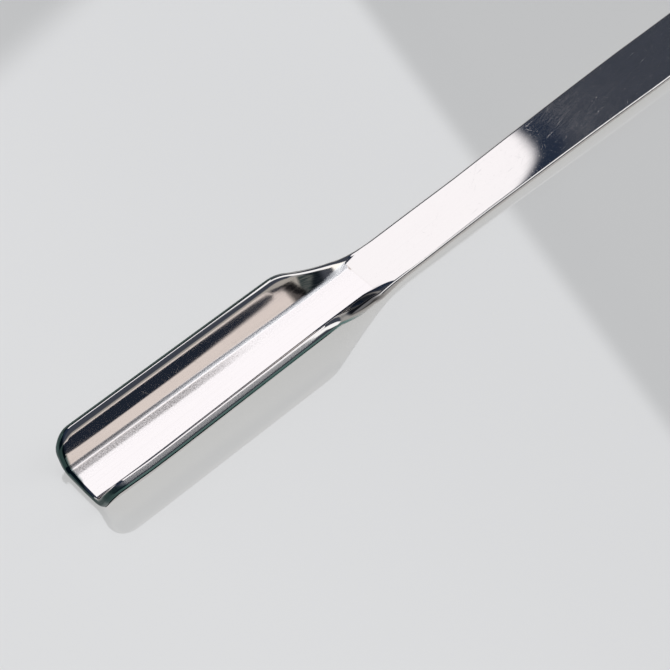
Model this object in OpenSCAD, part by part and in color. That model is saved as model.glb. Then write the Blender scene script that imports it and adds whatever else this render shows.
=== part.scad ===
// Lab spatula with a pressed trough.
// It is one strip of polished stainless steel: a flat blank whose wide end is folded up along
// both sides into a flat-bottomed trough with an open tip, and whose narrow end is the handle.
// It stands on the trough's flat underside and the handle's far end, both at z = 0, and the handle
// arches slightly between them. The length runs along X, with the open tip at the low end, and the
// origin is below the middle of the whole part.

/* [Strip] */
// Overall length
total_l = 180; // [140:1:240]
// Thickness of the steel
strip_t = 1.5; // [1.2:0.1:2]
// Rounding that polishing leaves on every edge
edge_r = 0.55; // [0.2:0.05:0.75]

/* [Trough] */
// Outer width across the rims
trough_w = 14; // [13:0.5:18]
// Outer depth from the underside to the rims
trough_h = 6.6; // [5:0.1:7]
// Distance from the tip to the corners where the rims start to run down
trough_l = 42.6; // [30:0.1:60]
// Angle that each side wall is folded up by
wall_angle = 63; // [56:1:66]
// Inner radius of the two folds
fold_r = 0.9; // [0.6:0.1:1.3]
// Corner radius of the blank at the open tip
tip_r = 3.2; // [1.5:0.1:4]
// How far the middle of the tip's end edge stands out
tip_bow = 0.4; // [0:0.05:1]

/* [Neck] */
// Angle between the blank's sloping edge and its length
slope_angle = 28; // [22:1:34]
// Radius of the corner between rim and slope
shoulder_r = 7; // [3:0.5:9]
// Radius of the hollow between slope and handle
neck_r = 32; // [20:1:35]
// Distance from the corners to where the folds start to open out
open_start = 1.3; // [0:0.1:3]
// Length over which the folds open out flat
open_l = 18; // [14:0.5:24]

/* [Handle] */
// Width next to the neck
handle_w = 8.6; // [7:0.1:9]
// Width at the far end
end_w = 10; // [9.4:0.1:11]
// Distance from the tip to where the handle starts to widen
flare_start = 78; // [72:1:90]
// Angle between each edge and the length where the handle widens
flare_angle = 1; // [0.8:0.1:1.5]
// Corner radius at the far end
end_r = 4.2; // [2:0.1:4.4]
// Height that the middle of the handle arches off the table
arch_h = 0.7; // [0:0.1:1.5]

/* [Hidden] */

steel = [0.72, 0.72, 0.73];
degrees = 180 / PI;  // degrees in a radian

// Steps along the curved stretches
fold_steps = 5;
wall_steps = 2;
flat_steps = 2;
edge_steps = 3;
tip_steps = 5;
shoulder_steps = 3;
neck_steps = 14;
end_steps = 6;

// The fold: half the flat bottom, the wall and the blank's half width, worked out at mid-thickness
fold_mid_r = fold_r + strip_t / 2;
rim_top_z = trough_h - edge_r + edge_r * sin(wall_angle) - (strip_t / 2 - edge_r) * cos(wall_angle);
rim_top_y = trough_w / 2 - edge_r + edge_r * cos(wall_angle) - (strip_t / 2 - edge_r) * sin(wall_angle);
wall_l = (rim_top_z - strip_t / 2 - fold_mid_r * (1 - cos(wall_angle))) / sin(wall_angle);
flat_half = rim_top_y - fold_mid_r * sin(wall_angle) - wall_l * cos(wall_angle);
trough_half = flat_half + fold_mid_r * wall_angle / degrees + wall_l;

// Where the stretches of the blank's outline meet
handle_half = handle_w / 2;
end_half = end_w / 2;
neck_x = trough_l + (trough_half - handle_half) / tan(slope_angle);
shoulder_cut = shoulder_r * tan(slope_angle / 2);
neck_cut = neck_r * tan(slope_angle / 2);
flare_r = 150;
flare_cut = flare_r * tan(flare_angle / 2);
flare_end = flare_start + (end_half - handle_half) / tan(flare_angle);
bow_fade = 12;

// Once the folds open out, each turns over this length instead of at a tight radius
open_turn_l = handle_half - flat_half;
// The press shapes the strip up to here, and the tight fold becomes the open one just before it
die_end = trough_l + 11.4;
die_fade = 3;

function clamp01(u) = min(max(u, 0), 1);
function ease(u) = let (c = clamp01(u)) c * c * (3 - 2 * c);
function mix(a, b, u) = a + (b - a) * u;

// Outline points are [x, half width, normal x, normal y]. A bulge is an arc whose centre lies
// inside the blank, and a hollow is one whose centre lies outside it.
function bulge(x, y, r, from, to, steps) =
    [for (i = [0:steps]) let (a = mix(from, to, i / steps)) [x + r * cos(a), y + r * sin(a), cos(a), sin(a)]];
function hollow(x, y, r, from, to, steps) =
    [for (i = [0:steps]) let (a = mix(from, to, i / steps)) [x - r * cos(a), y - r * sin(a), cos(a), sin(a)]];
function between(p, q, steps) = [for (i = [1:steps - 1]) mix(p, q, i / steps)];

tip_corner = bulge(tip_bow + tip_r, trough_half - tip_r, tip_r, 180, 90, tip_steps);
shoulder = bulge(trough_l - shoulder_cut, trough_half - shoulder_r, shoulder_r, 90, 90 - slope_angle, shoulder_steps);
neck = hollow(neck_x + neck_cut, handle_half + neck_r, neck_r, 90 - slope_angle, 90, neck_steps);
flare = hollow(flare_start - flare_cut, handle_half + flare_r, flare_r, 90, 90 + flare_angle, 2);
parallel = bulge(flare_end + flare_cut, end_half - flare_r, flare_r, 90 + flare_angle, 90, 2);
far_corner = bulge(total_l - end_r, end_half - end_r, end_r, 90, 0, end_steps);
slope = between(shoulder[shoulder_steps], neck[0], 3);
outline = concat(tip_corner, shoulder, slope, neck, flare, parallel, far_corner);

// How far open the folds are at x, from 0 in the trough to 1 in the flat handle
function opened(x) = let (u = clamp01((x - trough_l - open_start) / open_l)) (u + ease(u)) / 2;

// Height of the handle's arch at x
function arched(x) = let (u = clamp01((x - die_end) / (total_l - die_end))) 4 * arch_h * u * (1 - u);

// Middle of the sheet's thickness at the blank's point x, q, with q across the blank
function sheet(x, q) =
    let (
        angle = max(wall_angle * (1 - opened(x)), 0.01),
        tight_l = fold_mid_r * angle / degrees,
        turn_l = mix(tight_l, open_turn_l, ease((x - die_end + die_fade) / die_fade)),
        turn_r = turn_l / angle * degrees,
        past = abs(q) - flat_half,
        turn = angle * clamp01(past / turn_l),
        beyond = max(past - turn_l, 0),
        y = min(abs(q), flat_half) + turn_r * sin(turn) + beyond * cos(angle),
        z = turn_r * (1 - cos(turn)) + beyond * sin(angle)
    )
    [x, sign(q) * y, strip_t / 2 + z + arched(x)];

function normal(x, q) =
    let (d = 0.02, n = cross(sheet(x + d, q) - sheet(x - d, q), sheet(x, q + d) - sheet(x, q - d)))
    n / norm(n);

// The tip's end edge bows out in the middle
function bowed(x, q) =
    x - tip_bow * (1 - pow(q / trough_half, 2)) * (1 - ease((x - tip_bow) / bow_fade));

// Point at height h above the middle of the sheet
function skin(x, q, h) = let (bx = bowed(x, q)) sheet(bx, q) + h * normal(bx, q);

// Lines across a row of the blank, from the middle to its rounded edge
function half_lines(w, x) =
    let (
        flat = min(flat_half, 0.45 * w),
        angle = wall_angle * (1 - opened(x)),
        turn = min(max(fold_mid_r * angle / degrees, 0.7 * (w - flat) * opened(x)), 0.8 * (w - flat))
    )
    concat(
        [for (i = [0:flat_steps - 1]) flat * i / flat_steps],
        [for (i = [0:fold_steps - 1]) flat + turn * i / fold_steps],
        [for (i = [0:wall_steps]) mix(flat + turn, w, i / wall_steps)]
    );

// The rows' points lie inside the outline by the edge rounding
rows = [
    for (p = outline)
        let (x = p[0] - edge_r * p[2], half = half_lines(p[1] - edge_r * p[3], x), last = len(half) - 1)
        [for (j = [-last:last]) [x, sign(j) * half[abs(j)]]]
];
row_count = len(rows);
col_count = len(rows[0]);

// The boundary of the rows, once round, as [x, q, normal x, normal q]
loop = concat(
    [for (j = [0:col_count - 1]) concat(rows[0][j], [-1, 0])],
    [for (i = [1:row_count - 2]) concat(rows[i][col_count - 1], [outline[i][2], outline[i][3]])],
    [for (j = [col_count - 1:-1:0]) concat(rows[row_count - 1][j], [1, 0])],
    [for (i = [row_count - 2:-1:1]) concat(rows[i][0], [outline[i][2], -outline[i][3]])]
);
loop_count = len(loop);
grid_count = row_count * col_count;

// Index of each boundary point within the grid of rows
loop_in_grid = concat(
    [for (j = [0:col_count - 1]) j],
    [for (i = [1:row_count - 2]) i * col_count + col_count - 1],
    [for (j = [col_count - 1:-1:0]) (row_count - 1) * col_count + j],
    [for (i = [row_count - 2:-1:1]) i * col_count]
);

// Rounded edge from top to bottom, as [distance out, height]
edge_flat = strip_t / 2 - edge_r;
edge_profile = concat(
    [for (k = [1:edge_steps]) let (a = 90 - 90 * k / edge_steps) edge_r * [cos(a), sin(a)] + [0, edge_flat]],
    [for (k = [0:edge_steps - 1]) let (a = -90 * k / edge_steps) edge_r * [cos(a), sin(a)] - [0, edge_flat]]
);

top_points = [for (row = rows, p = row) skin(p[0], p[1], strip_t / 2)];
bottom_points = [for (row = rows, p = row) skin(p[0], p[1], -strip_t / 2)];
edge_points = [
    for (e = edge_profile, p = loop) skin(p[0] + e[0] * p[2], p[1] + e[0] * p[3], e[1])
];

// Loops of point numbers, one for each line round the edge, from the top to the bottom
edge_loops = concat(
    [loop_in_grid],
    [for (k = [0:len(edge_profile) - 1]) [for (m = [0:loop_count - 1]) 2 * grid_count + k * loop_count + m]],
    [[for (g = loop_in_grid) grid_count + g]]
);

function split(a, b, c, d) = [[a, b, c], [a, c, d]];

top_faces = [
    for (i = [0:row_count - 2], j = [0:col_count - 2])
        let (a = i * col_count + j)
        each split(a, a + 1, a + col_count + 1, a + col_count)
];
bottom_faces = [for (f = top_faces) [f[2] + grid_count, f[1] + grid_count, f[0] + grid_count]];
edge_faces = [
    for (k = [0:len(edge_loops) - 2], m = [0:loop_count - 1])
        let (n = (m + 1) % loop_count)
        each split(edge_loops[k][m], edge_loops[k + 1][m], edge_loops[k + 1][n], edge_loops[k][n])
];

module spatula() {
    color(steel)
        translate([-total_l / 2, 0, 0])
            polyhedron(
                points = concat(top_points, bottom_points, edge_points),
                faces = concat(top_faces, bottom_faces, edge_faces)
            );
}

spatula();
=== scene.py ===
import math

import bmesh
import bpy
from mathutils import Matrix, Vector


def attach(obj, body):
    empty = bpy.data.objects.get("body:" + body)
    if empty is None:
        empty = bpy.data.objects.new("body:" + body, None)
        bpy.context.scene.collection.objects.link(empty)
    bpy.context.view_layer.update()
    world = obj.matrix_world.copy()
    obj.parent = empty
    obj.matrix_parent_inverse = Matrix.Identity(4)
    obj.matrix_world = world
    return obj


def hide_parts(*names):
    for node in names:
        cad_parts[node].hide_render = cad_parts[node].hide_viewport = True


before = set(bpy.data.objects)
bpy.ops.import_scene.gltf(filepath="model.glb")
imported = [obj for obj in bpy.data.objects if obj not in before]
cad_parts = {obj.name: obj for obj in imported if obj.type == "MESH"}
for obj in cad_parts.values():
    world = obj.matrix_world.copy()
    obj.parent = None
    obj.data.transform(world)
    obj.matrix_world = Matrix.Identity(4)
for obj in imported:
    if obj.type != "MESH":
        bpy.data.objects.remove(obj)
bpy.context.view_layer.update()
print("frame loaded")

mm = 0.001


def clamp01(u):
    return min(max(u, 0.0), 1.0)


def ease(u):
    u = clamp01(u)
    return u * u * (3 - 2 * u)


def mix(a, b, u):
    return a + (b - a) * u


# the spatula is made as a flat blank with rounded edges, and folded afterwards

spatula = {  # millimetres and degrees, measured on the blank from its tip
    "length": 179.99, "thickness": 1.5,
    "troughWidth": 14, "troughHeight": 6.6, "troughLength": 42.6, "foldRadius": 0.9,
    "foldAngle": 61, "rimAngle": 67,  # the wall steepens from the fold to the rim
    # towards the tip the flat widens and the walls curl more, except on the near side right at the tip
    "tipWiden": 0.54, "tipLean": 0.5, "tipCurl": 5.4, "nearRoll": 0.3, "nearRollLength": 10,
    # both walls bend back out just below the rim
    "bentAngle": 59.9, "bendLength": 0.25, "straightLength": 0.42,
    # edge rounding as reach over the upper face, depth, and radius below, on the near and the far side
    "troughEdge": ((0.27, 0.4, 0.68), (1.0, 0.28, 0.58)),
    "slopeEdge": ((0.35, 1.0, 0.45), (0.8, 0.5, 0.68)),
    "handleEdge": ((0.4, 0.4, 0.55), (0.4, 0.4, 0.55)),
    # play left inside the overall height and width, and how far the whole sits towards the near side
    "topPlay": 0.004, "sidePlay": 0.288, "rimShift": 0.03,
    "tipRadius": 3.2, "tipBow": 0.4, "bowFade": 12,
    "slopeAngle": 28, "shoulderRadius": 7, "neckRadius": 32, "openStart": 1.3, "openLength": 18,
    "handleWidth": 8.6, "endWidth": 10, "endRadius": 4.2,
    "flareStart": 78, "flareAngle": 1, "flareRadius": 150,
    "archHeight": 0.7, "dieLength": 11.4, "dieFade": 2.5,
    # polishing lowers the handle's faces beside its edges, and leaves it slightly wavy
    "nearCrown": 0.33, "farCrown": 0.12, "crownPower": 2.2,
    "waveHeight": 0.055, "waveLength": 45, "wavePlace": 92,
    "waveStart": 60, "waveFadeIn": 14, "waveEnd": 145, "waveFadeOut": 25,
    # the edge rounding changes over these lengths, from a little before the trough's corners
    "cornerLead": 3, "cornerBlend": 4, "dieBlend": 5,
    "troughStep": 4, "neckStep": 0.3, "handleStep": 2.5,  # spacing of the rows
    "cornerSteps": 14, "flareSteps": 2, "edgeSteps": 6,
    "flatColumns": 6, "foldColumns": 12, "wallColumns": 8,
    # how much of a row's half width the flat may take, how much of the rest the fold takes,
    # and how far the last column but one is from the edge
    "flatShare": 0.45, "leastTurn": 0.7, "mostTurn": 0.8, "lastColumn": 0.03,
    "slightFold": 0.0002,  # the handle keeps this share of the fold, so that the same formula holds there
    "slopeStep": 0.02,  # step over which the sheet's direction is worked out
}
size = type("Sizes", (), spatula)
half = size.thickness / 2
slope = math.radians(size.slopeAngle)
flare = math.radians(size.flareAngle)
foldAngle, rimAngle = math.radians(size.foldAngle), math.radians(size.rimAngle)
foldMid = size.foldRadius + half

# the wall is an arc that leaves the fold at one angle and reaches the rim at the other
reach, depth, below = size.troughEdge[0]
rimTop = math.hypot(reach * math.sin(rimAngle), depth * math.cos(rimAngle))
rimZ = size.troughHeight - size.topPlay - rimTop
rimZ += reach * math.sin(rimAngle) - (half - depth) * math.cos(rimAngle)
rimY = size.troughWidth / 2 - size.sidePlay
rimY -= below * (1 - math.cos(rimAngle)) + (half - below) * math.sin(rimAngle)
wallRadius = (rimZ - half - foldMid * (1 - math.cos(foldAngle))) / (math.cos(foldAngle) - math.cos(rimAngle))
wallLength = wallRadius * (rimAngle - foldAngle)
flatHalf = rimY - foldMid * math.sin(foldAngle) - wallRadius * (math.sin(rimAngle) - math.sin(foldAngle))
blankHalf = flatHalf + foldMid * foldAngle + wallLength

handleHalf, endHalf = size.handleWidth / 2, size.endWidth / 2
neckX = size.troughLength + (blankHalf - handleHalf) / math.tan(slope)
flareEnd = size.flareStart + (endHalf - handleHalf) / math.tan(flare)
dieEnd = size.troughLength + size.dieLength


def opened(x):  # how far the folds are open, from 0 in the trough to 1 in the handle
    u = clamp01((x - size.troughLength - size.openStart) / size.openLength)
    return (u + ease(u)) / 2


def arched(x):  # height of the handle's arch
    u = clamp01((x - dieEnd) / (size.length - dieEnd))
    wave = math.sin(2 * math.pi * (x - size.wavePlace) / size.waveLength)
    wave *= ease((x - size.waveStart) / size.waveFadeIn) * ease((size.waveEnd - x) / size.waveFadeOut)
    return 4 * size.archHeight * u * (1 - u) + size.waveHeight * wave


def tipward(x):  # from 0 at the trough's corners to 1 at the tip
    return clamp01(1 - x / size.troughLength)


def rolled(x, q):  # from 1 at the tip on the near side to 0
    return ease(1 - x / size.nearRollLength) if q < 0 else 0


def flatAt(x, q):  # half of the trough's flat bottom
    return flatHalf + size.tipWiden * tipward(x) - size.nearRoll * rolled(x, q)


def closedAt(x):  # share of the fold that is left at x
    return max(1 - opened(x), size.slightFold)


def foldAt(x, q):  # angle that the fold turns through
    return (foldAngle + math.radians(size.tipLean) * (tipward(x) - rolled(x, q))) * closedAt(x)


def sheet(x, q):  # middle of the folded sheet at the blank's point x, q
    closed, angle, flat = closedAt(x), foldAt(x, q), flatAt(x, q)
    turnLength = mix(foldMid * angle, handleHalf - flatHalf, ease((x - dieEnd + size.dieFade) / size.dieFade))
    radius = turnLength / angle
    past = abs(q) - flat
    turn = angle * clamp01(past / turnLength)
    curl = (rimAngle - foldAngle + math.radians(size.tipCurl) * tipward(x)) * closed
    wallTurn = curl * max(past - turnLength, 0) / wallLength
    wall = wallLength / curl
    y = min(abs(q), flat) + radius * math.sin(turn) + wall * (math.sin(angle + wallTurn) - math.sin(angle))
    z = radius * (1 - math.cos(turn)) + wall * (math.cos(angle) - math.cos(angle + wallTurn))
    bend = abs(q) - blankHalf + size.troughEdge[q > 0][0] + size.straightLength + size.bendLength
    if bend > 0:
        tilt = angle + wallTurn - math.radians(size.bentAngle) * closed
        out = tilt * (bend - size.bendLength / 2)
        if bend < size.bendLength:
            out = tilt * bend ** 2 / size.bendLength / 2
        y, z = y + out * math.sin(angle + wallTurn), z - out * math.cos(angle + wallTurn)
    return Vector((x, math.copysign(y, q), half + z + arched(x)))


def folded(x, q, h):  # a point of the flat blank, h above its middle, after folding
    x -= size.tipBow * (1 - (q / blankHalf) ** 2) * (1 - ease((x - size.tipBow) / size.bowFade))
    d = size.slopeStep
    across = sheet(x, q + d) - sheet(x, q - d)
    along = sheet(x + d, q) - sheet(x - d, q)
    return sheet(x, q) + h * along.cross(across).normalized()


def bulge(x, y, r, start, end, steps):  # arc centred inside the blank: x, half width, and the way it faces
    angles = [mix(start, end, i / steps) for i in range(steps + 1)]
    return [(x + r * math.cos(a), y + r * math.sin(a), math.cos(a), math.sin(a)) for a in angles]


def hollow(x, y, r, start, end, steps):  # arc centred outside the blank
    return [(px, py, -nx, -ny) for px, py, nx, ny in bulge(x, y, r, start + math.pi, end + math.pi, steps)]


def between(p, q, step):
    n = max(round((q[0] - p[0]) / step), 1)
    return [tuple(mix(a, b, i / n) for a, b in zip(p, q)) for i in range(1, n)]


def makeOutline():
    side, leaning = math.pi / 2, math.pi / 2 - slope  # the ways that the straight and the sloping edges face
    widening = math.pi / 2 + flare
    shoulderCut, neckCut = size.shoulderRadius * math.tan(slope / 2), size.neckRadius * math.tan(slope / 2)
    flareCut = size.flareRadius * math.tan(flare / 2)
    tip = bulge(size.tipBow + size.tipRadius, blankHalf - size.tipRadius, size.tipRadius,
                math.pi, side, size.cornerSteps)
    shoulder = bulge(size.troughLength - shoulderCut, blankHalf - size.shoulderRadius, size.shoulderRadius,
                     side, leaning, round(size.shoulderRadius * slope / size.neckStep))
    neck = hollow(neckX + neckCut, handleHalf + size.neckRadius, size.neckRadius,
                  leaning, side, round(size.neckRadius * slope / size.neckStep))
    widen = hollow(size.flareStart - flareCut, handleHalf + size.flareRadius, size.flareRadius,
                   side, widening, size.flareSteps)
    parallel = bulge(flareEnd + flareCut, endHalf - size.flareRadius, size.flareRadius,
                     widening, side, size.flareSteps)
    end = bulge(size.length - size.endRadius, endHalf - size.endRadius, size.endRadius,
                side, 0, size.cornerSteps)
    rows = tip
    for stretch, step in ((shoulder, size.troughStep), (neck, size.neckStep), (widen, size.handleStep),
                          (parallel, size.handleStep), (end, size.handleStep)):
        rows = rows + between(rows[-1], stretch[0], step) + stretch
    return rows


def edgeAt(x, side):  # the edge's rounding, with side running from 0 on the near side to 1 on the far side
    u = ease((x - size.troughLength + size.cornerLead) / size.cornerBlend)
    v = ease((x - dieEnd) / size.dieBlend)
    trough, slant, handle = ([mix(a, b, side) for a, b in zip(*pair)]
                             for pair in (size.troughEdge, size.slopeEdge, size.handleEdge))
    return [mix(mix(a, b, u), c, v) for a, b, c in zip(trough, slant, handle)]


def rowColumns(x, w):  # places across a row, from the middle to its edge
    flat = min(flatAt(x, 1), size.flatShare * w)
    turn = max(foldMid * foldAt(x, 1), size.leastTurn * (w - flat) * opened(x))
    turn = min(turn, size.mostTurn * (w - flat))
    places = [flat * i / size.flatColumns for i in range(size.flatColumns)]
    places += [flat + turn * i / size.foldColumns for i in range(size.foldColumns)]
    last = w - size.lastColumn
    places += [mix(flat + turn, last, i / size.wallColumns) for i in range(size.wallColumns + 1)]
    return places + [w]


def vertsOf(geom):
    return [v for v in geom if isinstance(v, bmesh.types.BMVert)]


def edgesAmong(geom, verts):
    edges = [e for e in geom if isinstance(e, bmesh.types.BMEdge)]
    return [e for e in edges if e.verts[0] in verts and e.verts[1] in verts]


def makeBlank(bm):
    wayX, wayQ = bm.verts.layers.float.new("wayX"), bm.verts.layers.float.new("wayQ")
    under = bm.verts.layers.float.new("under")  # 0 on the upper face, rising round the edge to 1 below
    alongX, farness = bm.verts.layers.float.new("alongX"), bm.verts.layers.float.new("farness")
    edges = None
    outline = makeOutline()
    for p in outline:
        near, far = edgeAt(p[0], 0)[0], edgeAt(p[0], 1)[0]
        w = p[1] - near * p[3], p[1] - far * p[3]
        places = [-q for q in reversed(rowColumns(p[0], w[0])[1:])] + rowColumns(p[0], w[1])
        sides = [(q + w[0]) / (w[0] + w[1]) for q in places]
        if edges is None:
            verts = [bm.verts.new((0, q, 0)) for q in places]
            edges = [bm.edges.new(pair) for pair in zip(verts, verts[1:])]
        else:
            made = bmesh.ops.extrude_edge_only(bm, edges=edges)["geom"]
            verts = sorted(vertsOf(made), key=lambda v: v.co.y)
            edges = edgesAmong(made, set(verts))
        for v, q, side in zip(verts, places, sides):
            v.co = (p[0] - mix(near, far, side) * p[2], q, 0)
            v[alongX], v[farness] = p[0], side
            v[wayX] = -1 if p is outline[0] else 1 if p is outline[-1] else p[2]
            v[wayQ] = 0 if p in (outline[0], outline[-1]) else math.copysign(p[3], q)
    bmesh.ops.recalc_face_normals(bm, faces=bm.faces[:])
    made = bmesh.ops.extrude_face_region(bm, geom=bm.faces[:])["geom"]
    bmesh.ops.translate(bm, verts=vertsOf(made), vec=(0, 0, size.thickness))
    bmesh.ops.translate(bm, verts=bm.verts[:], vec=(0, 0, -half))
    upright = [e for e in bm.edges if abs(e.verts[0].co.z - e.verts[1].co.z) > half]
    cuts = 2 * size.edgeSteps + 1
    bmesh.ops.subdivide_edges(bm, edges=upright, cuts=cuts, use_grid_fill=True)
    for v in bm.verts:
        k = round((v.co.z + half) / size.thickness * (cuts + 1))
        v[under] = 1 - k / (cuts + 1)
        if k in (0, cuts + 1):
            continue
        reach, depth, below = edgeAt(v[alongX], v[farness])
        if k > size.edgeSteps + 1:
            a = math.pi / 2 * (cuts + 1 - k) / size.edgeSteps
            out, v.co.z = reach * math.sin(a), half - depth + depth * math.cos(a)
        else:
            a = math.pi / 2 * (k - 1) / size.edgeSteps
            out = reach - below + below * math.sin(a)
            v.co.z = below - half - below * math.cos(a)
        v.co.x += out * v[wayX]
        v.co.y += out * v[wayQ]
    bmesh.ops.recalc_face_normals(bm, faces=bm.faces[:])


def foldBlank(bm):
    blank = bm.verts.layers.float_vector.new("blank")  # where each point was before folding
    fromFold = bm.verts.layers.float.new("fromFold")  # distance up the wall from the start of the fold
    for v in bm.verts:
        x, q, h = v.co
        v[blank] = (x, q, h)
        v[fromFold] = abs(q) - flatAt(x, q)
        w = handleHalf if x < neckX else endHalf
        crown = (size.nearCrown if q < 0 else size.farCrown) * opened(x) ** 2
        h *= 1 - crown / half * min(abs(q) / w, 1) ** size.crownPower
        v.co = folded(x, q, h)
    bmesh.ops.scale(bm, verts=bm.verts[:], vec=(mm, mm, mm))
    bmesh.ops.translate(bm, verts=bm.verts[:], vec=(-size.length * mm / 2, -size.rimShift * mm, 0))
    bmesh.ops.recalc_face_normals(bm, faces=bm.faces[:])


def makeSpatula():
    bm = bmesh.new()
    makeBlank(bm)
    foldBlank(bm)
    for f in bm.faces:
        f.smooth = True
    mesh = bpy.data.meshes.new("spatulaBlade")
    bm.to_mesh(mesh)
    bm.free()
    piece = bpy.data.objects.new("spatulaBlade", mesh)
    bpy.context.scene.collection.objects.link(piece)
    return piece


blade = makeSpatula()
print("spatula folded,", len(blade.data.polygons), "faces")

def put(socket, value):  # the value is a number, a colour or another node's output
    if isinstance(value, bpy.types.NodeSocket):
        socket.id_data.links.new(value, socket)
    else:
        socket.default_value = (*value, 1) if socket.type == "RGBA" else value


def calc(kind, *values):
    tree = next(v.id_data for v in values if isinstance(v, bpy.types.NodeSocket))
    node = tree.nodes.new("ShaderNodeMath")
    node.operation = kind
    for socket, value in zip(node.inputs, values):
        put(socket, value)
    return node.outputs[0]


def times(*values):
    product = values[0]
    for value in values[1:]:
        product = calc("MULTIPLY", product, value)
    return product


def ramp(value, span, start=0.0, end=1.0):  # eases from start to end as the value crosses the span
    node = value.id_data.nodes.new("ShaderNodeMapRange")
    node.interpolation_type = "SMOOTHSTEP"
    put(node.inputs["Value"], value)
    for name, number in zip(("From Min", "From Max", "To Min", "To Max"), (*span, start, end)):
        put(node.inputs[name], number)
    return node.outputs["Result"]


def blend(mask, a, b):  # a where the mask is 0 and b where it is 1
    node = mask.id_data.nodes.new("ShaderNodeMix")
    node.data_type = "RGBA"
    for place, value in ((0, mask), (6, a), (7, b)):
        put(node.inputs[place], value)
    return node.outputs[2]


def newMaterial(name):
    material = bpy.data.materials.new(name)
    material.use_nodes = True
    nodes = material.node_tree.nodes
    nodes.clear()
    out = nodes.new("ShaderNodeOutputMaterial")
    shader = nodes.new("ShaderNodeBsdfPrincipled")
    put(out.inputs["Surface"], shader.outputs["BSDF"])
    return material, nodes, shader


steel = {
    "colour": (0.634, 0.597, 0.573),
    "troughColour": (0.656, 0.617, 0.597),  # the pressed trough is polished a little more
    "wallColour": (0.705, 0.64, 0.58),  # faint straw tint on the far wall
    # the first colour on the next line is a painted highlight, a near-white reflectance that lightens the far
    # fold
    "foldPaintedLight": (0.99, 0.965, 0.95), "streakDark": (0.60, 0.565, 0.545), "brushedColour": (0.42, 0.41, 0.40),
    "stripeDark": (0.36, 0.335, 0.32), "stripeLight": (0.80, 0.76, 0.74), "creaseColour": (0.30, 0.25, 0.21),
    # painted shade: dark teal for the edge's outer rounding and the tip's end, standing in for the shaded
    # floor that they reflect
    "rimPaintedShade": (0.13, 0.23, 0.215), "tipPaintedShade": (0.05, 0.09, 0.085),
    # painted shade: dark colours for the patches beside the trough's corners, standing in for dark
    # reflections there
    "farShadeColour": (0.045, 0.07, 0.072), "nearShadeColour": (0.085, 0.08, 0.08),
    # the metal's own roughness, and what each mark adds to it
    "roughness": 0.02, "lineRoughness": 0.03, "hazeRoughness": 0.02, "scratchRoughness": 0.15,
    "stripeRoughness": 0.4, "foldRoughness": 0.42, "wallRoughness": 0.115,
    "rimStreakRoughness": 0.5, "brushedRoughness": 0.16,
    # heights of the bumps in millimetres
    "lineBump": 0.00015, "scratchBump": 0.0004, "speckleBump": 0.02,
    # spans along the strip, in millimetres from the tip
    "stripeAlong": (19, 40), "creaseAlong": (4, 30), "foldLightAlong": (8, 28), "wallHazeAlong": (12, 40),
    "rimStreakAlong": (36, 40), "brushedAlong": (94, 102),
    "farPatchStart": (44.8, 45.6), "farPatchEnd": (48.8, 50.3),
    "nearPatchStart": (45.6, 46.8), "nearPatchEnd": (51.5, 56),
    # spans across it, in millimetres from the start of the fold
    "stripeStart": (-1.65, -0.85), "stripeFringe": (-3.4, -1.2), "stripeEnd": (-0.15, 0.1),
    "foldStart": (0.1, 0.5), "foldEnd": (1.3, 1.8), "creasePlace": 0.92, "creaseWidth": (0, 0.3),
    "farPatchUp": (0.9, 1.6), "nearPatchUp": (0.2, 0.7),
    # spans across it from the middle, and the mark that the die's end left there
    "middle": (-1, 1), "nickStart": (1.9, 2.4), "nickEnd": (3.2, 3.5), "nickWidth": (0.05, 0.22),
    "nickDark": 0.9, "nickElsewhere": 0.07,
    # spans round the edge, from 0 on the upper face to 1 below
    "upperFace": (0.02, 0.12), "rimFaceStart": (0.36, 0.42), "rimFaceEnd": (0.5, 0.6),
    "edgeShadeNear": (0.5, 0.66), "edgeShadeFar": (0.39, 0.43), "edgeShadeEnd": (0.93, 1.0),
    # the painted edge shade reaches higher round the tip, most on the far side, and ends sooner on the near
    # side
    "tipLift": 0.36, "farLift": 0.6, "nearShorter": 5, "edgeShadeFade": 3, "dieFade": 0.15, "tipShare": 2.8,
    # strengths
    "fringe": 0.2, "stripeLeft": 0.15, "nearStripe": 0.1, "creaseAtTip": 0.5, "wallHazeAtTip": 0.45,
    "brushed": 0.8,
    # noise: features per millimetre along, across and through, turn in degrees, detail, roughness,
    # and where it is picked out, the span of values and the strengths at the span's two ends
    "speckleNoise": ((3.6, 4.4, 4), 0, 4, 0.7), "speckleSpan": (0.3, 0.66),
    "lineNoise": ((0.09, 11, 11), 0, 5, 0.65), "lineSpan": (0.45, 0.8),
    "creaseNoise": ((0.35, 3, 1), 0, 2, 0.55, (0.3, 0.55), 0.25, 1),
    "hazeNoise": ((0.12, 0.3, 1), 0, 3, 0.55, (0.4, 0.75)),
    "brushedNoise": ((0.3, 10, 1), 9, 3, 0.7, (0.35, 0.75)),
    "wallNoise": ((0.07, 3.5, 3.5), 0, 3, 0.6, (0.3, 0.7), 0.6, 1),
    "rimNoise": ((4.5, 0.3, 0.3), 0, 3, 0.7, (0.3, 0.7), 0.75, 1),
    "patchNoise": ((0.5, 7, 3), -20, 3, 0.55, (0.3, 0.7), 1, 0.75),
    "streakNoise": ((0.035, 4, 1), 0, 4, 0.6, (0.5, 0.8), 0, 0.5),
    "speckNoise": ((6, 6, 1), 0, 1, 0.55, (0.72, 0.77)),
    "scratchNoises": [
        ((0.3, 13, 1), 35, 0, 0.3, (0.83, 0.87)),
        ((0.3, 13, 1), -62, 0, 0.3, (0.85, 0.89)),
        ((0.3, 13, 1), 8, 0, 0.3, (0.83, 0.87)),
    ],
}


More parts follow.
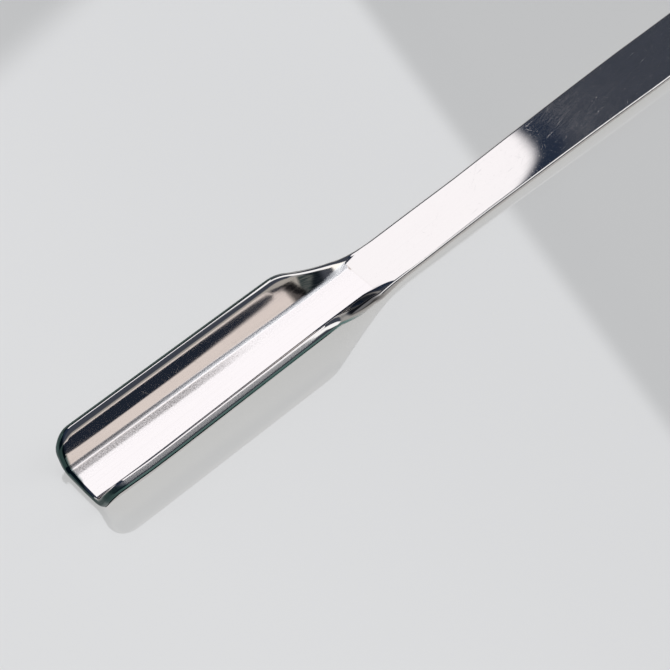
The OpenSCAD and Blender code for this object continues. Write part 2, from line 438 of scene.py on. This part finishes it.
def makeSteel():
    material, nodes, shader = newMaterial("polishedSteel")

    def read(name, output):
        node = nodes.new("ShaderNodeAttribute")
        node.attribute_name = name
        return node.outputs[output]

    blank = read("blank", "Vector")

    def noise(settings):
        stretch, turn, detail, roughness, *picked = settings
        place = nodes.new("ShaderNodeMapping")
        place.vector_type = "TEXTURE"  # turned first and stretched after
        put(place.inputs["Vector"], blank)
        put(place.inputs["Rotation"], (0, 0, math.radians(turn)))
        put(place.inputs["Scale"], [1 / s for s in stretch])
        node = nodes.new("ShaderNodeTexNoise")
        put(node.inputs["Vector"], place.outputs["Vector"])
        for name, number in (("Scale", 1), ("Detail", detail), ("Roughness", roughness)):
            put(node.inputs[name], number)
        return ramp(node.outputs["Fac"], *picked) if picked else node.outputs["Fac"]

    def bump(height, distance, normal=None):
        node = nodes.new("ShaderNodeBump")
        put(node.inputs["Distance"], distance * mm)
        put(node.inputs["Height"], height)
        if normal:
            put(node.inputs["Normal"], normal)
        return node.outputs["Normal"]

    where = nodes.new("ShaderNodeSeparateXYZ")
    put(where.inputs[0], blank)
    x, q = where.outputs[0], where.outputs[1]
    fromFold, under, wayX = (read(name, "Fac") for name in ("fromFold", "under", "wayX"))
    upper = ramp(under, steel["upperFace"], 1, 0)
    inTrough = times(ramp(x, (dieEnd - steel["dieFade"], dieEnd + steel["dieFade"]), 1, 0), upper)
    farSide = ramp(q, steel["middle"])
    nearSide = calc("SUBTRACT", 1.0, farSide)

    # unpolished stripe on the flat along the far fold, and the fold's own duller hollow with its crease
    speckle = noise(steel["speckleNoise"])
    stripe = ramp(fromFold, steel["stripeStart"])
    stripe = calc("MAXIMUM", stripe, ramp(fromFold, steel["stripeFringe"], 0, steel["fringe"]))
    stripe = times(stripe, ramp(fromFold, steel["stripeEnd"], 1, 0), inTrough)
    stripe = times(stripe, ramp(x, steel["stripeAlong"], 1, steel["stripeLeft"]))
    stripe = times(stripe, ramp(q, steel["middle"], steel["nearStripe"], 1))
    fold = times(ramp(fromFold, steel["foldStart"]), ramp(fromFold, steel["foldEnd"], 1, 0))
    fold = times(fold, inTrough, farSide)
    # painted highlight: the far fold is lightened towards white, fading in from near the tip
    paintedFoldLight = times(fold, ramp(x, steel["foldLightAlong"]))
    crease = calc("ABSOLUTE", calc("SUBTRACT", fromFold, steel["creasePlace"]))
    crease = times(ramp(crease, steel["creaseWidth"], 1, 0), inTrough, farSide)
    crease = times(crease, ramp(x, steel["creaseAlong"], steel["creaseAtTip"], 0))
    crease = times(crease, noise(steel["creaseNoise"]))

    # polishing lines along the length, scratches in many directions, and specks
    lines = noise(steel["lineNoise"])
    scratches = noise(steel["speckNoise"])
    for settings in steel["scratchNoises"]:
        scratches = calc("MAXIMUM", scratches, noise(settings))
    haze = noise(steel["hazeNoise"])
    brushed = times(noise(steel["brushedNoise"]), ramp(x, steel["brushedAlong"]))

    # haze up the far wall, and short streaks on the near rim
    wall = times(ramp(fromFold, steel["foldEnd"]), inTrough, farSide)
    wallHaze = times(wall, ramp(x, steel["wallHazeAlong"], steel["wallHazeAtTip"], 1))
    wallHaze = times(wallHaze, noise(steel["wallNoise"]))
    rimFace = times(ramp(under, steel["rimFaceStart"]), ramp(under, steel["rimFaceEnd"], 1, 0))
    rimFace = times(rimFace, nearSide, ramp(x, steel["rimStreakAlong"], 1, 0))
    rimStreaks = times(noise(steel["rimNoise"]), rimFace)

    # painted shade on the outer half of the edge: dark teal standing in for the shaded floor that it reflects
    tipped = times(calc("MAXIMUM", times(wayX, -1.0), 0.0), steel["tipLift"])
    lift = calc("ADD", 1.0, times(farSide, steel["farLift"]))
    paintedEdgeShade = ramp(calc("ADD", under, times(tipped, lift)), steel["edgeShadeNear"])
    paintedEdgeShade = calc("MAXIMUM", paintedEdgeShade, times(farSide, ramp(under, steel["edgeShadeFar"])))
    paintedEdgeShade = times(paintedEdgeShade, ramp(under, steel["edgeShadeEnd"], 1, 0))
    endX = calc("ADD", x, times(nearSide, steel["nearShorter"]))
    paintedEdgeShade = times(paintedEdgeShade, ramp(endX, (neckX - steel["edgeShadeFade"], neckX + steel["edgeShadeFade"]), 1, 0))

    # painted shade beside both of the trough's corners, darkening the reflections there, streaky along the
    # strip on the far side
    farPaintedShade = times(ramp(x, steel["farPatchStart"]), ramp(x, steel["farPatchEnd"], 1, 0))
    farPaintedShade = times(farPaintedShade, ramp(fromFold, steel["farPatchUp"]), farSide, upper)
    farPaintedShade = times(farPaintedShade, noise(steel["patchNoise"]))
    nearPaintedShade = times(ramp(x, steel["nearPatchStart"]), ramp(x, steel["nearPatchEnd"], 1, 0))
    nearPaintedShade = times(nearPaintedShade, ramp(fromFold, steel["nearPatchUp"]))
    nearPaintedShade = times(nearPaintedShade, ramp(under, steel["rimFaceStart"], 1, 0), nearSide)

    # faint line that the die's end left across the strip, darker over a short stretch
    nick = times(ramp(q, steel["nickStart"]), ramp(q, steel["nickEnd"], steel["nickDark"], 0))
    nick = calc("MAXIMUM", nick, steel["nickElsewhere"])
    fromDie = calc("ABSOLUTE", calc("SUBTRACT", x, dieEnd))
    nick = times(nick, ramp(fromDie, steel["nickWidth"], 1, 0), upper)

    colour = blend(inTrough, steel["colour"], blend(wall, steel["troughColour"], steel["wallColour"]))
    colour = blend(noise(steel["streakNoise"]), colour, steel["streakDark"])
    colour = blend(times(brushed, steel["brushed"]), colour, steel["brushedColour"])
    colour = blend(nick, colour, steel["creaseColour"])
    speckled = blend(ramp(speckle, steel["speckleSpan"]), steel["stripeDark"], steel["stripeLight"])
    colour = blend(stripe, colour, speckled)
    # painted highlight on the far fold
    colour = blend(paintedFoldLight, colour, steel["foldPaintedLight"])
    colour = blend(crease, colour, steel["creaseColour"])
    darker = calc("MAXIMUM", farSide, times(tipped, steel["tipShare"]))
    # painted shade on the outer half of the edge
    colour = blend(paintedEdgeShade, colour, blend(darker, steel["rimPaintedShade"], steel["tipPaintedShade"]))
    # painted shade beside the trough's corners
    colour = blend(farPaintedShade, colour, steel["farShadeColour"])
    colour = blend(nearPaintedShade, colour, steel["nearShadeColour"])
    put(shader.inputs["Base Color"], colour)

    rough = steel["roughness"]
    for mask, name in ((ramp(lines, steel["lineSpan"]), "lineRoughness"), (haze, "hazeRoughness"),
                       (scratches, "scratchRoughness"), (stripe, "stripeRoughness"),
                       (fold, "foldRoughness"), (wallHaze, "wallRoughness"),
                       (rimStreaks, "rimStreakRoughness"), (brushed, "brushedRoughness")):
        rough = calc("ADD", rough, times(mask, steel[name]))
    put(shader.inputs["Roughness"], rough)

    normal = bump(lines, steel["lineBump"])
    normal = bump(scratches, steel["scratchBump"], normal)
    normal = bump(times(speckle, stripe), steel["speckleBump"], normal)
    put(shader.inputs["Normal"], normal)
    put(shader.inputs["Metallic"], 1)
    return material


blade.data.materials.append(makeSteel())
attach(blade, "root")
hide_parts("spatula")
print("steel finished")

floorLook = {
    "size": 8.0,
    "colour": (0.32, 0.32, 0.318),
    "glow": (0.516, 0.515, 0.506),  # seen by the camera and in reflections, and lights nothing
    "shadeAlong": (-0.095, -0.015), "shade": 0.93,  # the glow dims a little towards the handle
    "roughness": 0.025,
    "ior": 1.915,
}


def makeFloor():
    bm = bmesh.new()
    bmesh.ops.create_grid(bm, x_segments=2, y_segments=2, size=floorLook["size"] / 2)
    mesh = bpy.data.meshes.new("floor")
    bm.to_mesh(mesh)
    bm.free()
    floor = bpy.data.objects.new("floor", mesh)
    bpy.context.scene.collection.objects.link(floor)
    material, nodes, shader = newMaterial("paleFloor")
    put(shader.inputs["Base Color"], floorLook["colour"])
    put(shader.inputs["Roughness"], floorLook["roughness"])
    put(shader.inputs["IOR"], floorLook["ior"])
    put(shader.inputs["Emission Color"], floorLook["glow"])
    ray = nodes.new("ShaderNodeLightPath")
    seen = calc("MAXIMUM", ray.outputs["Is Camera Ray"], ray.outputs["Is Glossy Ray"])
    mirror = nodes.new("ShaderNodeFresnel")
    put(mirror.inputs["IOR"], floorLook["ior"])
    left = calc("SUBTRACT", 1.0, mirror.outputs[0])  # the glow gives way to the floor's own reflection
    place = nodes.new("ShaderNodeSeparateXYZ")
    put(place.inputs[0], nodes.new("ShaderNodeTexCoord").outputs["Object"])
    shade = ramp(place.outputs["X"], floorLook["shadeAlong"], 1, floorLook["shade"])
    put(shader.inputs["Emission Strength"], times(seen, left, shade))
    mesh.materials.append(material)


makeFloor()
print("floor laid")

# the room: a softbox up behind the far side, a lamp at the back, one at the side, and pale walls low down
studio = {  # each edge is a plane through the scene: the side it faces, how far off, and how soft
    "dark": (0.027, 0.042, 0.078),
    "softbox": (1.5, 1.52, 1.60),
    "softboxEdges": [
        ((-0.8562, 0.2676, 0.4418), 0.0, 0.006),
        ((0.178, -0.748, 0.640), 0.038, 0.012),
        ((0.0, 0.978, 0.208), 0.03, 0.03),
        ((0.9975, 0.0, -0.07), 0.0, 0.02),
    ],
    "backLamp": (0.95, 0.97, 1.02),
    "backLampEdges": [
        ((0, 1, 0), 0.50, 0.03),
        ((-1, 0, 0), 0.28, 0.1),
        ((0, 0, 1), 0.16, 0.1),
        ((0, 0, -1), -0.66, 0.08),
    ],
    "horizon": (0.50, 0.505, 0.50),  # pale wall round the table
    "horizonEdges": [((0, 0, -1), -0.185, 0.045)],
    "backWall": (0.072, 0.085, 0.115),
    "backWallEdges": [((0.8562, -0.2676, -0.4418), 0.03, 0.01)],
    "sideLamp": (1.5, 1.55, 1.6),
    "sideLampEdges": [
        ((0, 0, 1), 0.04, 0.03),
        ((0, -1, 0), 0.12, 0.03),
        ((0, 1, 0), -0.53, 0.04),
        ((1, 0, 0), 0.36, 0.03),
    ],
}


def makeStudio():
    world = bpy.data.worlds.new("studio")
    bpy.context.scene.world = world
    world.use_nodes = True
    nodes = world.node_tree.nodes
    nodes.clear()
    out = nodes.new("ShaderNodeOutputWorld")
    background = nodes.new("ShaderNodeBackground")
    put(out.inputs["Surface"], background.outputs["Background"])
    where = nodes.new("ShaderNodeTexCoord").outputs["Generated"]

    def inside(edges):  # 1 where the direction is within every edge
        sides = []
        for normal, offset, soft in edges:
            dot = nodes.new("ShaderNodeVectorMath")
            dot.operation = "DOT_PRODUCT"
            put(dot.inputs[0], where)
            put(dot.inputs[1], normal)
            sides.append(ramp(dot.outputs["Value"], (offset - soft, offset + soft)))
        return times(*sides)

    colour = blend(inside(studio["backWallEdges"]), studio["dark"], studio["backWall"])
    for name in ("backLamp", "softbox", "sideLamp", "horizon"):
        colour = blend(inside(studio[name + "Edges"]), colour, studio[name])
    put(background.inputs["Color"], colour)


makeStudio()
print("studio set")

view = {
    "place": (-0.15777, -0.12248, 0.21819),
    "towards": (0.4122, 0.4336, -0.8013),
    "lens": 98.35,
}


def makeCamera():
    data = bpy.data.cameras.new("camera")
    data.sensor_width = 36
    data.lens = view["lens"]
    data.clip_start, data.clip_end = 0.01, 50
    camera = bpy.data.objects.new("camera", data)
    bpy.context.scene.collection.objects.link(camera)
    camera.location = view["place"]
    camera.rotation_mode = "QUATERNION"
    camera.rotation_quaternion = Vector(view["towards"]).to_track_quat("-Z", "Y")
    bpy.context.scene.camera = camera


makeCamera()
bpy.context.scene.view_settings.view_transform = "Standard"
print("camera set")
